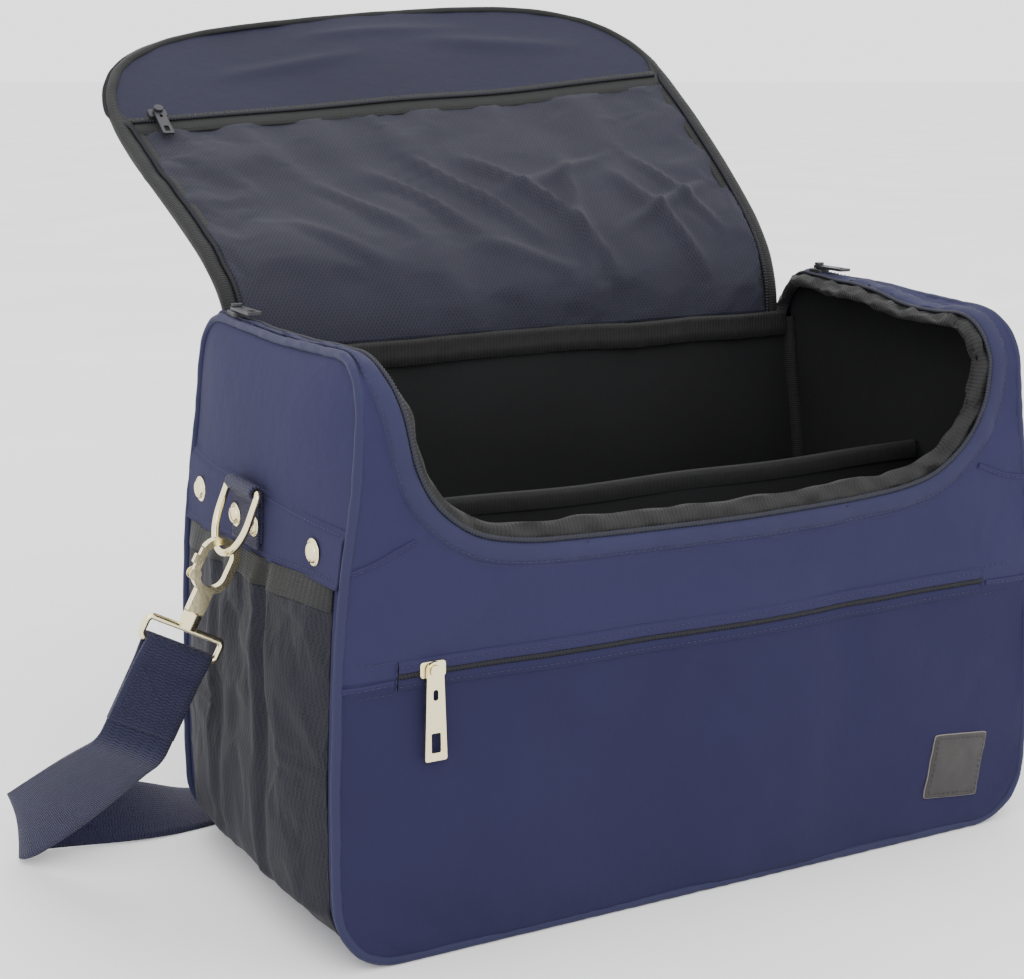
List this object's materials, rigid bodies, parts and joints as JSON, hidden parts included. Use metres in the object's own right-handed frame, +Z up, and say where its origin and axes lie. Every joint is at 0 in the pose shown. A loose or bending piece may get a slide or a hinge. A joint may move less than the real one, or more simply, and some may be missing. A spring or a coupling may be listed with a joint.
{
  "type": "pet carrier bag",
  "caption": "Soft-sided pet carrier bag with a fold-back zipped lid, padded divider, front zip pocket, mesh end pockets and a clip-on shoulder strap.",
  "frame": {"origin": "centre of the base, on the ground", "axes": "+X along the bag's length to its right end seen from the front, +Y from the front to the back, +Z up"},
  "size_m": [0.6502, 0.4833, 0.4832],
  "materials": {
    "navy_fabric": "matte",
    "navy_piping": "satin",
    "navy_webbing": "matte",
    "black_lining": "matte",
    "black_binding": "matte",
    "pocket_mesh": "matte",
    "lid_mesh": "matte",
    "zip_tape": "matte",
    "black_zip": "matte",
    "board": "matte",
    "pale_gold": "polished",
    "dark_metal": "satin",
    "patch_leather": "matte",
    "adjuster_black": "satin"
  },
  "bodies": {
    "bag": {"front_lower_panel": "navy_fabric", "front_upper_panel": "navy_fabric", "back_panel": "navy_fabric", "shoulder_strips": "navy_fabric", "end_panel_left": "navy_fabric", "end_panel_right": "navy_fabric", "bottom_panel": "navy_fabric", "seam_piping": "navy_piping", "pocket_lining": "black_lining", "front_padding": "black_lining", "back_padding": "black_lining", "end_padding_left": "black_lining", "end_padding_right": "black_lining", "base_board": "board", "floor_pad": "black_lining", "divider": "black_lining", "corner_bindings": "black_binding", "opening_rim": "navy_fabric", "opening_zip": "black_zip", "opening_binding": "black_binding", "hinge_band": "navy_fabric", "hinge_binding": "black_binding", "pocket_zip": "zip_tape", "leather_patch": "patch_leather", "opening_slider_left": "dark_metal", "opening_slider_right": "dark_metal", "end_yoke_left": "navy_fabric", "end_yoke_right": "navy_fabric", "mesh_pocket_left": "pocket_mesh", "mesh_pocket_right": "pocket_mesh", "pocket_elastic_left": "black_binding", "pocket_elastic_right": "black_binding", "ring_tab_left": "navy_webbing", "ring_tab_right": "navy_webbing", "rivets_left": "pale_gold", "rivets_right": "pale_gold", "swivel_loop_left": "pale_gold", "swivel_loop_right": "pale_gold", "strap_end_left": "navy_webbing", "strap_end_right": "navy_webbing", "shoulder_strap": "navy_webbing", "strap_adjuster": "adjuster_black"},
    "lid": {"lid_cover": "navy_fabric", "lid_mesh_pocket": "lid_mesh", "lid_pocket_zip": "black_zip", "lid_binding": "black_binding"},
    "lid_flap": {"flap_cover": "navy_fabric", "flap_binding": "black_binding"},
    "lid_zip_slider": {"lid_slider": "dark_metal"},
    "lid_zip_puller": {"lid_puller": "dark_metal"},
    "front_zip_slider": {"pocket_slider": "pale_gold"},
    "front_zip_puller": {"pocket_puller": "pale_gold"},
    "opening_puller_left": {"opening_puller_left": "dark_metal"},
    "opening_puller_right": {"opening_puller_right": "dark_metal"},
    "d_ring_left": {"d_ring_left": "pale_gold"},
    "d_ring_right": {"d_ring_right": "pale_gold"},
    "hook_left": {"hook_left": "pale_gold"},
    "hook_right": {"hook_right": "pale_gold"},
    "hook_gate_left": {"hook_gate_left": "pale_gold"},
    "hook_gate_right": {"hook_gate_right": "pale_gold"}
  },
  "joints": [
    {"name": "lid_hinge", "type": "hinge", "parent": "bag", "child": "lid", "pos_m": [0, 0.112, 0.303], "axis": [1, 0, 0], "range_deg": [-95, 145]},
    {"name": "flap_fold", "type": "hinge", "parent": "lid", "child": "lid_flap", "pos_m": [0, 0.28976, 0.42747], "axis": [1, 0, 0], "range_deg": [-60, 91]},
    {"name": "lid_zip_slide", "type": "slide", "parent": "lid", "child": "lid_zip_slider", "axis": [1, 0, 0], "range_m": [0, 0.336]},
    {"name": "lid_puller_swing", "type": "hinge", "parent": "lid_zip_slider", "child": "lid_zip_puller", "pos_m": [-0.168, 0.26702, 0.4146], "axis": [0, -0.5736, 0.8192], "range_deg": [-85, 85]},
    {"name": "front_zip_slide", "type": "slide", "parent": "bag", "child": "front_zip_slider", "axis": [1, 0, 0], "range_m": [0, 0.341]},
    {"name": "front_puller_swing", "type": "hinge", "parent": "front_zip_slider", "child": "front_zip_puller", "pos_m": [-0.168, -0.108, 0.152], "axis": [0, -1, 0], "range_deg": [-85, 85]},
    {"name": "opening_puller_swing_right", "type": "hinge", "parent": "bag", "child": "opening_puller_right", "pos_m": [0.195, 0.07, 0.306], "axis": [0, 0, 1], "range_deg": [-60, 60]},
    {"name": "d_ring_swing_right", "type": "hinge", "parent": "bag", "child": "d_ring_right", "pos_m": [0.22049, 0, 0.226], "axis": [0, -1, 0], "range_deg": [-4, 4]},
    {"name": "hook_swivel_right", "type": "hinge", "parent": "bag", "child": "hook_right", "pos_m": [0.23361, 0, 0.19355], "axis": [-0.4695, 0, 0.8829], "range_deg": [-10, 10]},
    {"name": "hook_gate_open_right", "type": "hinge", "parent": "hook_right", "child": "hook_gate_right", "pos_m": [0.24865, 0, 0.18399], "axis": [0, 1, 0], "range_deg": [-22, 0], "stiffness_Nm_per_rad": 0.02},
    {"name": "opening_puller_swing_left", "type": "hinge", "parent": "bag", "child": "opening_puller_left", "pos_m": [-0.195, 0.07, 0.306], "axis": [0, 0, 1], "range_deg": [-60, 60]},
    {"name": "d_ring_swing_left", "type": "hinge", "parent": "bag", "child": "d_ring_left", "pos_m": [-0.22049, 0, 0.226], "axis": [0, 1, 0], "range_deg": [-4, 4]},
    {"name": "hook_swivel_left", "type": "hinge", "parent": "bag", "child": "hook_left", "pos_m": [-0.23361, 0, 0.19355], "axis": [-0.4695, 0, -0.8829], "range_deg": [-10, 10]},
    {"name": "hook_gate_open_left", "type": "hinge", "parent": "hook_left", "child": "hook_gate_left", "pos_m": [-0.24865, 0, 0.18399], "axis": [0, -1, 0], "range_deg": [-22, 0], "stiffness_Nm_per_rad": 0.02}
  ],
  "couplings": [
    {"joint": "flap_fold", "follows": "lid_hinge", "ratio": 0.62069}
  ]
}
